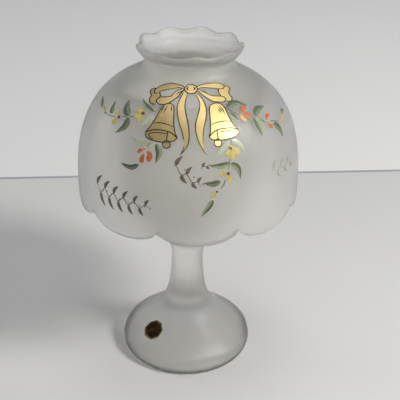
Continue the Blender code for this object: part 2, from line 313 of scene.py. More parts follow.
def make_shade(material):
    """Closed shell: outer skin, rolled lower edge, inner skin, rolled collar edge."""
    skin = shade_skin(collar_pitch=0.7 * MM, dome_pitch=1.5 * MM)
    columns = PETAL_COUNT * PETAL_STEPS
    azimuths = [NOTCH_AZIMUTH + 2 * pi * k / columns for k in range(columns)]
    rows = len(skin)
    outer = np.array([[tuple(skin_point(r, z, a)) for a in azimuths] for r, z in skin])
    down = np.gradient(outer, axis=0)
    around = np.roll(outer, -1, axis=1) - np.roll(outer, 1, axis=1)
    normal = np.cross(down, around)
    normal /= np.linalg.norm(normal, axis=2, keepdims=True)
    if (normal[rows // 2, 0, :2] @ outer[rows // 2, 0, :2]) < 0:
        normal = -normal
    half = SHADE_WALL / 2
    rim_half = RIM_WALL / 2
    heights = np.array([z for _, z in skin])
    towards_rim = np.clip((heights - NECK_TOP_Z) / (COLLAR_TOP_Z - NECK_TOP_Z), 0, 1)
    wall = (SHADE_WALL + (RIM_WALL - SHADE_WALL) * towards_rim)[:, None, None]

    def roll(row, inward_row):
        """Direction out of the wall at an edge, square to its normal."""
        out = outer[row] - outer[inward_row]
        out -= np.sum(out * normal[row], axis=1, keepdims=True) * normal[row]
        return out / np.linalg.norm(out, axis=1, keepdims=True)

    top_out, low_out = roll(0, 1), roll(-1, -2)
    outer[0] -= top_out * rim_half * 0.35
    outer[-1] -= low_out * half * 0.6
    middle_top = outer[0] - normal[0] * rim_half
    middle_low = outer[-1] - normal[-1] * half
    rings = [*outer]
    turns = [pi * k / ROLL_STEPS for k in range(1, ROLL_STEPS)]
    rings += [middle_low + half * (cos(t) * normal[-1] + ROLL_STRETCH * sin(t) * low_out)
              for t in turns]
    rings += [*(outer - wall * normal)[::-1]]
    rings += [middle_top + rim_half * (-cos(t) * normal[0] + ROLL_STRETCH * sin(t) * top_out)
              for t in turns]
    verts = [v for ring in rings for v in ring]
    faces = []
    for i in range(len(rings)):
        j = (i + 1) % len(rings)
        faces += between(range(i * columns, (i + 1) * columns), range(j * columns, (j + 1) * columns))
    mesh = mesh_of("frosted_shade", verts, faces)
    outward(mesh)
    add_piece("frosted_shade", mesh, "shade", material, ["glass_shade"])


# ---- pedestal


def lip_centre():
    """Where the goblet's rounded lip is centred, just under the dome that rests on it."""
    standoff = SHADE_WALL + GAP + LIP_THICKNESS / 2

    def middle(angle):
        point, normal = dome_point(angle)
        return point - standoff * normal

    return middle(dome_angle_where(lambda a: middle(a).x > LIP_RADIUS))


def bowl_inside(lip):
    return [(0.0, BOWL_FLOOR_Z)] + smooth_curve([
        (BOWL_FLOOR_RADIUS, BOWL_FLOOR_Z),
        (26.6 * MM, BOWL_FLOOR_Z + 5.0 * MM),
        (31.0 * MM, BOWL_FLOOR_Z + 16.0 * MM),
        (34.6 * MM, BOWL_FLOOR_Z + 36.0 * MM),
        (lip.x - LIP_THICKNESS / 2, lip.y),
    ], 8)[:-1]


def outside_curve(lip):
    """From the lip down the bowl and the stem, and out over the foot to its edge."""
    bowl = [(38.4, 130.0), (34.4, 104.5), (25.0, 85.5), (14.4, 75.6)]
    foot = [(10.1, 47.5), (12.2, 36.5), (17.0, 27.0), (25.2, 20.0), (33.2, 14.2), (37.8, 9.8)]
    return smooth_curve([
        (lip.x + LIP_THICKNESS / 2, lip.y),
        *((r * MM, z * MM) for r, z in bowl),
        (STEM_RADIUS + 0.7 * MM, 68.5 * MM),
        (STEM_RADIUS, 60.0 * MM),
        *((r * MM, z * MM) for r, z in foot),
        (FOOT_RADIUS, FOOT_EDGE_Z),
    ], 8)


def foot_underside():
    """Rolled edge, flat resting ring and shallow hollow."""
    inner, outer = RESTING_RING
    edge = smooth_curve([
        (FOOT_RADIUS, FOOT_EDGE_Z),
        (FOOT_RADIUS - 0.3 * MM, 2.9 * MM),
        (FOOT_RADIUS - 1.1 * MM, 1.0 * MM),
        (outer, 0.0),
    ], 5)[1:]
    hollow = smooth_curve([
        (inner, 0.0),
        (inner - 3.0 * MM, 1.4 * MM),
        (inner - 14.0 * MM, 0.8 * FOOT_HOLLOW_Z),
        (0.0, FOOT_HOLLOW_Z),
    ], 6)
    return edge + hollow


def make_pedestal(material):
    lip = lip_centre()
    over_lip = arc(lip, LIP_THICKNESS / 2, 180, 0, 12)
    profile = bowl_inside(lip) + over_lip + outside_curve(lip)[1:] + foot_underside()
    mesh = lathe("frosted_pedestal", profile, TURN_STEPS)
    add_piece("frosted_pedestal", mesh, "base", material, ["pedestal"])


# ---- tealight


def turned(name, profile, steps, material, node, wave=None):
    """A piece of the tealight from a profile whose heights start at the bowl's floor."""
    profile = [(r, z + BOWL_FLOOR_Z) for r, z in profile]
    add_piece(name, lathe(name, profile, steps, wave), "tealight", material, [node])


def make_tealight(cup_metal, steel, wax, cotton):
    """Ribbed cup with a rolled rim, dished wax, pressed sustainer and plaited wick."""
    inside = CUP_WALL + GAP
    inner = CUP_BASE_RADIUS - CUP_WALL
    corner = 0.8 * MM
    rim = 0.55 * MM
    top = GAP + CUP_HEIGHT
    flare = CUP_RIM_RADIUS - CUP_BASE_RADIUS - 0.5 * MM
    rise_inside = top - rim * 2 - inside - corner
    fall_outside = top - rim * 2 - GAP - 1.0 * MM
    steps = 8
    cup = [(0.0, inside), (inner - corner, inside), (inner, inside + corner)]
    cup += [(inner + flare * k / steps, inside + corner + rise_inside * k / steps)
            for k in range(1, steps + 1)]
    cup += arc((CUP_RIM_RADIUS - rim, top - rim), rim, 200, -60, 10)
    cup += [(CUP_BASE_RADIUS + flare * (steps - k) / steps, top - rim * 2 - fall_outside * k / steps)
            for k in range(1, steps + 1)]
    cup += [(CUP_BASE_RADIUS - 0.7 * MM, GAP + 0.15 * MM), (CUP_BASE_RADIUS - 2.2 * MM, GAP),
            (CUP_BASE_RADIUS - 3.0 * MM, GAP + 0.25 * MM), (0.0, GAP + 0.25 * MM)]

    def ribs(radius, z, azimuth):
        height = (z - BOWL_FLOOR_Z - GAP) / CUP_HEIGHT
        on_wall = radius > CUP_BASE_RADIUS - 1.2 * MM
        swell = max(0.0, sin(pi * min(1.0, max(0.0, height * 1.12 - 0.04))))
        return radius + (RIB_HEIGHT * cos(RIB_COUNT * azimuth) * swell if on_wall else 0.0), z

    turned("ribbed_cup", cup, 320, cup_metal, "tealight_cup", ribs)

    floor = 2 * GAP + CUP_WALL
    bore = WICK_RADIUS + GAP
    sleeve = bore + 0.6 * MM
    plate = floor + 0.5 * MM
    sleeve_end = floor + 3.0 * MM
    disc = [(bore, sleeve_end), (bore + 0.3 * MM, floor + 3.15 * MM), (sleeve, sleeve_end),
            (sleeve, floor + 0.9 * MM), (sleeve + 0.5 * MM, plate), (SUSTAINER_RADIUS - 0.2 * MM, plate),
            (SUSTAINER_RADIUS, floor + 0.25 * MM), (SUSTAINER_RADIUS - 0.2 * MM, floor), (bore, floor)]
    turned("pressed_sustainer", disc, 64, steel, "wick_sustainer")

    over_plate = plate + GAP
    over_sleeve = sleeve_end + 1.2 * GAP
    taper = (CUP_RIM_RADIUS - CUP_BASE_RADIUS) / CUP_HEIGHT
    base = CUP_BASE_RADIUS - CUP_WALL - GAP
    edge = base + taper * (WAX_TOP - floor) - 0.35 * MM
    dish = [(bore, WAX_TOP + 0.25 * MM), (bore + 0.8 * MM, WAX_TOP - 0.15 * MM),
            (bore + 3 * MM, WAX_TOP - 0.55 * MM), (edge * 0.55, WAX_TOP - 0.6 * MM),
            (edge * 0.85, WAX_TOP - 0.5 * MM), (edge - 0.9 * MM, WAX_TOP - 0.2 * MM),
            (edge - 0.25 * MM, WAX_TOP), (edge, WAX_TOP - 0.4 * MM)]
    wax_profile = smooth_curve(dish, 4) + [
        (base - 0.2 * MM, floor + 0.3 * MM), (base - 0.5 * MM, floor), (SUSTAINER_RADIUS + GAP, floor),
        (SUSTAINER_RADIUS + GAP, over_plate), (sleeve + GAP, over_plate), (sleeve + GAP, over_sleeve),
        (bore, over_sleeve)]
    turned("dished_wax", wax_profile, 96, wax, "candle_wax")
    make_wick(cotton, floor)


def make_wick(material, floor):
    """Three plaited strands, straight in the wax and leaning a little above it."""
    verts, faces = [], []
    strands, twists = 3, 5.0
    rings, sides = 90, 8
    strand = WICK_RADIUS * 0.52
    orbit = WICK_RADIUS - strand
    for s in range(strands):
        start = len(verts)
        for i in range(rings + 1):
            z = floor + (WICK_TOP - floor) * i / rings
            over = max(0.0, (z - WAX_TOP) / (WICK_TOP - WAX_TOP))
            lean = 0.6 * MM * over ** 1.4
            turn = 2 * pi * (twists * i / rings + s / strands)
            pull = 1.0 - 0.35 * max(0.0, over - 0.9) / 0.1
            cx, cy = lean + orbit * cos(turn), orbit * sin(turn)
            for k in range(sides):
                a = 2 * pi * k / sides
                verts.append((cx + strand * pull * cos(a), cy + strand * pull * sin(a),
                              z + BOWL_FLOOR_Z))
        for i in range(rings):
            for k in range(sides):
                m = (k + 1) % sides
                a, b = start + i * sides, start + (i + 1) * sides
                faces.append((a + k, a + m, b + m, b + k))
        faces.append([start + k for k in range(sides)][::-1])
        faces.append([start + rings * sides + k for k in range(sides)])
    mesh = mesh_of("plaited_wick", verts, faces)
    outward(mesh)
    add_piece("plaited_wick", mesh, "tealight", material, ["wick"])


# ---- foil seal


def foot_surface(radius):
    """Height and outward normal of the foot's upper side at a radius."""
    profile = outside_curve(lip_centre())
    for (r1, z1), (r2, z2) in zip(profile, profile[1:]):
        if z2 < FOOT_TOP_Z and r1 <= radius <= r2:
            t = (radius - r1) / (r2 - r1)
            return z1 + t * (z2 - z1), Vector((z1 - z2, r2 - r1)).normalized()
    raise ValueError("the seal is not on the foot")


def seal_point(across, down, lift):
    """A point of the seal: across and down from its middle, and lift above the glass."""
    tilt = foot_surface(SEAL_ORBIT)[1]
    radius = SEAL_ORBIT + down * tilt.y
    z, normal = foot_surface(radius)
    return at_azimuth(radius + lift * normal.x, SEAL_AZIMUTH + across / SEAL_ORBIT, z + lift * normal.y)


def make_seal(foil, edge_foil):
    """Octagonal foil with a raised, faceted middle and a bevelled gold border."""

    def corner(k, share):
        turn = 2 * pi * (k + 0.5) / SEAL_SIDES
        reach = SEAL_SIZE / 2 / cos(pi / SEAL_SIDES) * share
        return reach * sin(turn), reach * cos(turn)

    def ringed(name, levels, capped):
        """Rings round the seal at (share of its size, lift), either capped or closing on themselves."""
        verts, rings = [], []
        for share, lift in levels:
            ring = []
            for k in range(SEAL_SIDES):
                a, b = corner(k, share), corner(k + 1, share)
                for j in range(SEAL_CUTS):
                    t = j / SEAL_CUTS
                    ring.append(len(verts))
                    verts.append(seal_point(a[0] + (b[0] - a[0]) * t, a[1] + (b[1] - a[1]) * t, lift))
            rings.append(ring)
        faces = []
        for a, b in zip(rings, rings[1:]):
            faces += between(a, b)
        if capped:
            for ring, (_, lift) in ((rings[0], levels[0]), (rings[-1], levels[-1])):
                middle = len(verts)
                verts.append(seal_point(0.0, 0.0, lift))
                faces += [(a, b, middle) for a, b in zip(ring, ring[1:] + ring[:1])]
        else:
            faces += between(rings[-1], rings[0])
        mesh = mesh_of(name, verts, faces)
        outward(mesh)
        return mesh

    facets = [(0.80 - 0.13 * i, (0.62 + 0.16 * (i % 2)) * MM) for i in range(1, 6)]
    face = ringed("seal_foil_face", [(0.84, 0.12 * MM), (0.84, 0.52 * MM)] + facets, True)
    add_piece("seal_foil_face", face, "base", foil, ["foil_seal"])
    border = ringed("seal_gold_border", [
        (0.86, 0.10 * MM), (1.0, 0.10 * MM), (1.0, 0.35 * MM),
        (0.95, 0.72 * MM), (0.89, 0.74 * MM), (0.86, 0.50 * MM),
    ], False)
    add_piece("seal_gold_border", border, "base", edge_foil)
    for mesh in (face, border):
        shade_faces(mesh, False)


# ---- painting on the dome


_curve = np.array(shade_skin(0.1 * MM, 0.2 * MM)[::-1])
_along = np.concatenate([[0], np.cumsum(np.hypot(*np.diff(_curve, axis=0).T))])


def girth_share(v):
    """Radius of the dome at v mm up its curve, as a share of the widest radius."""
    return float(np.interp(max(v, 0.0) * MM, _along, _curve[:, 0])) / SHADE_RADIUS


def settled(u, v):
    """The motif is laid out on the plain dome: near the neck's fillet a point draws in a little."""
    over = max(0.0, v - FILLET_V)
    return u * (1 - 0.0006 * over ** 2), v - 0.03 * over - 0.009 * over ** 2


def skin_at(u, v):
    """The glass's outer skin at a place of the motif."""
    u, v = settled(u, v)
    radius = float(np.interp(max(v, 0.0) * MM, _along, _curve[:, 0]))
    z = float(np.interp(max(v, 0.0) * MM, _along, _curve[:, 1])) + min(v, 0.0) * MM
    return skin_point(radius, z, u * MM / SHADE_RADIUS)


def on_dome(u, v, lift):
    """A painted point: u mm around and v mm up, lift mm above the glass."""
    e = 0.2  # mm to each side, for the slopes
    point = skin_at(u, v)
    normal = (skin_at(u + e, v) - skin_at(u - e, v)).cross(skin_at(u, v + e) - skin_at(u, v - e))
    return point + normal.normalized() * lift * MM


class Paint:
    """One finish of paint, gathered from areas and strokes into closed thin shells."""

    def __init__(self, name, slot, material, lift):
        self.name, self.slot, self.material, self.lift = name, slot, material, lift
        self.top, self.faces, self.crown = [], [], []

    def area(self, outline, steps=3):
        """A filled area inside a smooth closed outline."""
        ring = smooth_curve(outline, steps, closed=True)
        clean = [ring[0]]
        for q in ring[1:]:
            if dist(q, clean[-1]) > 0.12:
                clean.append(q)
        us, vs = [q[0] for q in clean], [q[1] for q in clean]
        points = [Vector(q) for q in clean]
        v, row = min(vs), 0
        while v < max(vs):
            k = girth_share(v)
            u = min(us) + (0.5 if row % 2 else 0.0) * PAINT_PITCH / k
            while u < max(us):
                if inside(clean, u, v) and min(dist((u, v), q) for q in clean) > 0.45 * PAINT_PITCH:
                    points.append(Vector((u, v)))
                u += PAINT_PITCH / k
            v += PAINT_PITCH * 0.87
            row += 1
        out = delaunay_2d_cdt(points, [], [list(range(len(clean)))], 1, 1e-5)
        start = len(self.top)
        self.top += [(p.x, p.y) for p in out[0]]
        self.crown += [0.0] * len(out[0])
        self.faces += [[start + i for i in f] for f in out[2]]

    def stroke(self, spine, width, shape="even", steps=6, across=2, shift=0.0):
        """A brush stroke along a smooth spine. shift moves it sideways, in widths."""
        line = smooth_curve(spine, steps)
        count = len(line)
        start = len(self.top)
        for i, (u, v) in enumerate(line):
            before, after = line[max(0, i - 1)], line[min(count - 1, i + 1)]
            k = girth_share(v)
            du, dv = (after[0] - before[0]) * k, after[1] - before[1]
            length = hypot(du, dv) or 1.0
            nu, nv = -dv / length / k, du / length
            w = width * WIDTHS[shape](i / (count - 1))
            for j in range(across + 1):
                side = j / across - 0.5 + shift
                self.top.append((u + nu * w * side, v + nv * w * side))
                self.crown.append(0.05 * (1 - (2 * j / across - 1) ** 2))
        for i in range(count - 1):
            for j in range(across):
                a = start + i * (across + 1) + j
                self.faces.append([a, a + 1, a + across + 2, a + across + 1])

    def dot(self, u, v, size):
        """A round dab."""
        steps = 12
        k = girth_share(v)
        start = len(self.top)
        self.top.append((u, v))
        self.crown.append(0.10)
        for i in range(steps):
            a = 2 * pi * i / steps
            self.top.append((u + size / 2 / k * cos(a), v + size / 2 * sin(a)))
            self.crown.append(0.0)
        self.faces += [[start, start + 1 + i, start + 1 + (i + 1) % steps] for i in range(steps)]

    def finish(self):
        """The painted skin with its underside just inside the glass, as closed shells."""
        top = [on_dome(u, v, self.lift + c) for (u, v), c in zip(self.top, self.crown)]
        under = [on_dome(u, v, -PAINT_DEPTH) for u, v in self.top]
        n = len(top)
        edges = {}
        for f in self.faces:
            for a, b in zip(f, f[1:] + f[:1]):
                edges[(a, b)] = edges.get((a, b), 0) + 1
        faces = list(self.faces) + [[n + i for i in reversed(f)] for f in self.faces]
        faces += [[b, a, n + a, n + b] for a, b in edges if (b, a) not in edges]
        mesh = mesh_of(self.name, top + under, faces)
        outward(mesh)
        add_piece(self.name, mesh, "shade", self.material)
        mesh.set_sharp_from_angle(angle=PAINT_CREASE)


def inside(ring, u, v):
    """Whether (u, v) is within a closed ring."""
    hit = False
    for (u1, v1), (u2, v2) in zip(ring, ring[1:] + ring[:1]):
        if (v1 > v) != (v2 > v) and u < (u2 - u1) * (v - v1) / (v2 - v1) + u1:
            hit = not hit
    return hit


# A stroke's width along its length, 0 to 1
WIDTHS = {
    "line": lambda t: 0.25 + 0.75 * sin(pi * min(1.0, max(0.0, t))) ** 0.5,
    "even": lambda t: 1.0,
    "leaf": lambda t: max(0.03, sin(pi * min(1.0, t ** 0.72)) ** 0.85),
    "petal": lambda t: max(0.06, sqrt(max(0.0, 1 - (2 * t ** 1.6 - 1) ** 2)) ** 0.9),
    "swell": lambda t: 0.22 + 0.78 * sin(pi * t) ** 2,
}


# ---- materials


class Look:
    """A Principled material with helpers for procedural detail in object space."""

    def __init__(self, name, roughness, metallic=0.0, transmission=0.0, ior=1.5, coat=0.0):
        self.material = bpy.data.materials.new(name)
        self.material.use_nodes = True
        self.nodes = self.material.node_tree.nodes
        self.links = self.material.node_tree.links
        self.shader = self.nodes["Principled BSDF"]
        self.set({"Roughness": roughness, "Metallic": metallic, "Transmission Weight": transmission,
                  "IOR": ior, "Coat Weight": coat})
        self.place = self.nodes.new("ShaderNodeTexCoord").outputs["Object"]

    def set(self, values):
        for socket, value in values.items():
            self.shader.inputs[socket].default_value = value

    def node(self, kind, values):
        node = self.nodes.new(kind)
        for socket, value in values.items():
            node.inputs[socket].default_value = value
        return node

    def noise(self, scale, detail=3.0, stretch=(1.0, 1.0, 1.0)):
        mapping = self.node("ShaderNodeMapping", {"Scale": stretch})
        self.links.new(self.place, mapping.inputs["Vector"])
        node = self.node("ShaderNodeTexNoise", {"Scale": scale, "Detail": detail})
        self.links.new(mapping.outputs["Vector"], node.inputs["Vector"])
        return node.outputs["Fac"]

    def colors(self, fac, stops):
        ramp = self.nodes.new("ShaderNodeValToRGB")
        for end in (0, -1):
            element = ramp.color_ramp.elements[end]
            element.position, element.color = stops[end][0], (*stops[end][1], 1)
        for at, color in stops[1:-1]:
            element = ramp.color_ramp.elements.new(at)
            element.color = (*color, 1)
        self.links.new(fac, ramp.inputs["Fac"])
        self.links.new(ramp.outputs["Color"], self.shader.inputs["Base Color"])
        return self

    def roughness(self, fac, low, high):
        node = self.node("ShaderNodeMapRange", {"To Min": low, "To Max": high})
        self.links.new(fac, node.inputs["Value"])
        self.links.new(node.outputs["Result"], self.shader.inputs["Roughness"])
        return self

    def bump(self, fac, strength, distance):
        node = self.node("ShaderNodeBump", {"Strength": strength, "Distance": distance})
        self.links.new(fac, node.inputs["Height"])
        self.links.new(node.outputs["Normal"], self.shader.inputs["Normal"])
        return self


def frosted_glass(name):
    """Satin-etched glass: milky, fine-grained, a little uneven from the acid."""
    look = Look(name, 0.5, transmission=0.92, ior=1.38, coat=0.08)
    look.set({"Coat Roughness": 0.35, "Subsurface Weight": 0.8, "Subsurface Scale": 1.0,
              "Subsurface Radius": (0.012, 0.012, 0.011)})
    cloud = look.noise(55.0, 4.0)
    look.colors(cloud, [(0.3, (0.985, 0.975, 0.935)), (0.7, (0.995, 0.988, 0.955))])
    look.roughness(look.noise(240.0, 3.0), 0.41, 0.50)
    look.bump(look.noise(2600.0, 2.0), 0.10, 0.00012)
    return look.material


def gold(name, stops, roughness):
    """Fired gold on satin glass, brushed thin in places, with painted shade towards -X and painted light
    towards +X.
    """
    look = Look(name, roughness, metallic=0.8)
    apart = look.nodes.new("ShaderNodeSeparateXYZ")
    look.links.new(look.place, apart.inputs["Vector"])
    # painted light and shade: the gold gets lighter towards +X, where the lamp is, and darker towards -X
    across = look.node("ShaderNodeMapRange", {"From Min": -38 * MM, "From Max": 16 * MM, "To Max": 0.8})
    look.links.new(apart.outputs["X"], across.inputs["Value"])
    mottle_and_light = look.nodes.new("ShaderNodeMath")
    mottle_and_light.operation = "MULTIPLY_ADD"
    mottle_and_light.inputs[1].default_value = 0.35
    look.links.new(look.noise(260.0, 3.0, (1.0, 1.0, 0.35)), mottle_and_light.inputs[0])
    look.links.new(across.outputs["Result"], mottle_and_light.inputs[2])
    look.colors(mottle_and_light.outputs["Value"], stops)
    look.roughness(look.noise(900.0, 3.0), roughness - 0.05, roughness + 0.05)
    look.bump(look.noise(2600.0, 2.0), 0.04, 0.00004)
    return look.material


def enamel(name, dark, light, roughness=0.42):
    """Hand-brushed enamel: streaks of thicker and thinner paint."""
    look = Look(name, roughness, coat=0.15)
    look.colors(look.noise(700.0, 4.0, (1.0, 1.0, 0.4)), [(0.28, dark), (0.72, light)])
    look.roughness(look.noise(1200.0), roughness - 0.08, roughness + 0.1)
    look.bump(look.noise(1500.0, 3.0), 0.2, 0.00006)
    return look.material


def metal(name, dark, light, low, high, grain):
    """Metal or foil: fine mottling of its colour and its polish."""
    look = Look(name, low, metallic=1.0)
    look.colors(look.noise(grain, 3.0), [(0.3, dark), (0.7, light)])
    look.roughness(look.noise(grain * 2.5), low, high)
    look.bump(look.noise(grain * 4.0), 0.15, 0.00005)
    return look.material


def waxy(name):
    """Paraffin: off-white, a little translucent."""
    look = Look(name, 0.45)
    look.set({"Subsurface Weight": 0.25, "Subsurface Radius": (0.004, 0.003, 0.002)})
    look.colors(look.noise(180.0, 4.0), [(0.3, (0.86, 0.84, 0.78)), (0.7, (0.92, 0.90, 0.85))])
    look.roughness(look.noise(400.0), 0.38, 0.52)
    look.bump(look.noise(600.0), 0.2, 0.0002)
    return look.material


def cotton(name):
    """Waxed cotton: streaks along the thread."""
    look = Look(name, 0.9)
    look.set({"Sheen Weight": 0.3})
    look.colors(look.noise(3000.0, 3.0, (1.0, 1.0, 0.3)),
                [(0.3, (0.74, 0.70, 0.60)), (0.7, (0.88, 0.85, 0.77))])
    look.bump(look.noise(5000.0), 0.4, 0.0001)
    return look.material


# ---- the painted motif


def paint_bow(fill, draw):
    """Two looped bands with their hanging folds, a knot and two tails."""
    # left loop: the far band, the fold that hangs from it, and the near band
    far = [(-4.3, 81.6), (-6.0, 82.5), (-9.8, 83.4), (-14.3, 83.9), (-19.3, 84.3), (-23.5, 84.0),
           (-27.7, 83.0), (-31.0, 81.5), (-33.1, 79.8), (-34.1, 78.1), (-34.8, 76.6), (-33.5, 75.2),
           (-31.6, 74.4), (-29.3, 75.0), (-28.3, 76.2), (-25.2, 77.7), (-21.0, 78.9), (-16.8, 80.1),
           (-13.5, 80.9), (-11.0, 81.4), (-8.5, 81.1), (-5.2, 80.6)]
    fill(far)
    draw([(-4.3, 81.7), (-6.3, 82.6)] + far[2:9]
         + [(-34.2, 78.0), (-34.6, 76.6), (-33.3, 75.1), (-31.6, 74.4), (-29.9, 74.8)], 0.62)
    draw([(-28.9, 75.8), (-25.4, 77.6)] + far[16:20] + [(-8.3, 81.1), (-4.8, 80.5)], 0.5)
    fold = [(-34.8, 77.7), (-37.0, 77.7), (-38.3, 76.4), (-37.9, 75.0), (-36.0, 73.7), (-34.0, 72.7),
            (-33.6, 70.6), (-32.3, 68.8), (-29.3, 67.7), (-26.4, 67.7), (-25.7, 68.6), (-26.7, 70.2),
            (-26.0, 71.8), (-25.1, 72.8), (-26.0, 74.3), (-28.3, 75.6), (-31.6, 74.5), (-33.6, 75.4)]
    fill(fold)
    draw([(-34.3, 77.8)] + fold[1:10], 0.6)
    draw([(-28.6, 75.7), (-26.6, 74.6), (-25.2, 72.8), (-26.3, 71.6), (-26.7, 70.2), (-25.7, 68.6)], 0.6)
    near = [(-25.2, 72.6), (-22.7, 72.6), (-19.3, 73.4), (-15.2, 74.3), (-15.0, 75.6), (-13.5, 77.3),
            (-10.6, 79.2), (-8.5, 79.9), (-5.0, 80.1), (-7.3, 76.8), (-9.3, 74.3), (-11.8, 72.3),
            (-14.7, 70.2), (-17.2, 68.9), (-20.2, 68.2), (-23.5, 68.2), (-25.8, 69.0), (-26.5, 70.7)]
    fill(near)
    draw([(-24.0, 72.8), (-19.3, 73.5), (-15.2, 74.3), (-15.0, 75.6), (-13.5, 77.2),
          (-10.6, 79.2), (-7.0, 80.3)], 0.5)
    draw([(-4.6, 80.2)] + near[9:16] + [(-25.7, 68.9)], 0.6)
    draw([(-6.2, 79.0), (-8.6, 77.6), (-11.9, 75.7)], 0.7, "swell")
    # right loop, in the same order
    far = [(10.2, 82.5), (12.3, 83.1), (15.7, 83.7), (20.7, 84.2), (25.7, 84.4), (30.7, 84.3),
           (35.7, 83.9), (39.8, 83.0), (42.2, 81.6), (42.3, 80.2), (39.8, 78.8), (37.3, 78.4),
           (34.8, 78.7), (32.5, 79.1), (29.4, 79.8), (24.8, 80.5), (20.7, 81.1), (16.5, 81.4),
           (13.5, 81.3), (10.7, 80.8)]
    fill(far)
    draw(far[:9] + [(42.3, 80.3), (39.8, 78.9)] + far[11:], 0.5)
    fold = [(33.2, 78.8), (37.5, 78.3), (41.5, 79.5), (43.4, 80.0), (45.6, 79.2), (45.7, 77.7),
            (43.6, 76.4), (40.9, 75.3), (39.8, 73.5), (39.8, 71.6), (38.9, 70.2), (36.5, 69.2),
            (34.2, 69.5), (33.0, 70.3), (33.7, 71.5), (32.6, 72.8), (30.4, 73.6), (30.3, 75.6),
            (31.2, 77.3)]
    fill(fold)
    draw([(43.3, 80.0)] + fold[4:12] + [(33.6, 69.7)], 0.55)
    draw([(33.2, 78.9), (31.2, 77.3), (30.3, 75.6), (30.5, 73.8)], 0.55)
    near = [(10.7, 79.8), (13.6, 79.5), (16.5, 78.7), (18.4, 76.5), (20.7, 75.2), (25.7, 74.1),
            (29.8, 73.6), (32.6, 72.8), (33.5, 71.4), (31.9, 70.1), (29.0, 69.6), (24.8, 70.2),
            (21.5, 70.8), (19.0, 72.1), (15.7, 74.2), (12.3, 76.7), (10.3, 78.9)]
    fill(near)
    draw([(10.9, 79.9), (13.6, 79.6), (16.5, 78.8)] + near[3:], 0.5)
    draw([(12.6, 78.6), (15.4, 77.9), (18.2, 76.3)], 0.6, "swell")
    # tails
    left = [(-2.4, 77.6), (-5.0, 76.9), (-6.9, 73.1), (-8.0, 69.4), (-7.8, 65.6), (-6.6, 61.9),
            (-5.0, 58.1), (-3.1, 54.4), (-1.9, 50.6), (-1.6, 46.9), (-3.4, 42.8), (-0.6, 45.8),
            (0.9, 48.8), (1.3, 52.5), (0.9, 56.9), (0.0, 60.6), (-1.3, 64.4), (-2.2, 68.1), (-2.0, 71.9),
            (-1.0, 75.6)]
    fill(left)
    draw(left[1:9], 0.5)
    draw(left[10:] + [(-0.5, 77.2)], 0.6, "line")
    draw([(-1.6, 48.0), (-2.2, 45.0), (-3.8, 42.4)], 0.5, "swell")
    right = [(5.2, 77.4), (6.3, 76.9), (8.8, 73.8), (9.7, 70.0), (8.8, 66.3), (6.9, 62.5), (5.5, 58.8),
             (5.3, 55.6), (5.9, 52.5), (7.2, 48.8), (9.4, 45.0), (11.5, 42.6), (10.0, 45.8), (9.4, 48.2),
             (9.7, 52.5), (10.6, 56.3), (12.2, 60.0), (13.8, 64.4), (14.1, 68.1), (13.1, 71.9),
             (10.9, 75.0), (7.8, 77.2)]
    fill(right)
    draw(right[1:12], 0.55, "line")
    draw(right[13:] + [(7.0, 77.6)], 0.55, "line")
    # knot
    knot = [(2.9, 84.4), (-0.8, 83.9), (-3.4, 82.5), (-4.2, 80.7), (-2.6, 78.6), (0.2, 77.2), (3.4, 76.8),
            (6.4, 77.4), (8.9, 78.9), (10.2, 80.8), (9.2, 82.7), (6.4, 84.0)]
    fill(knot)
    draw(knot + [knot[0]], 0.6)
    draw([(-0.2, 82.6), (-1.4, 80.9), (0.0, 79.2)], 0.9, "swell")
    draw([(5.9, 82.6), (7.2, 80.9), (5.8, 79.2)], 0.9, "swell")


def paint_bell(fill, draw, outline, waist, rim, mouth, clapper, ball, hatches):
    """One bell: its outline, three lines round it, its clapper with a ball, and drawn hatches."""
    fill(outline, 4)
    draw(outline + [outline[0]], 0.52, "even", 4)
    draw(waist, 0.5, "line")
    draw(rim, 0.55)
    draw(mouth, 0.42)
    draw(clapper, 0.55)
    k = girth_share(ball[1])
    ring = [(ball[0] + 1.95 / k * cos(a), ball[1] + 1.9 * sin(a))
            for a in (2 * pi * i / 12 for i in range(12))]
    fill(ring, 2)
    draw(ring + [ring[0]], 0.5, "even", 3)
    for hatch in hatches:
        draw(hatch, 0.55, "swell")


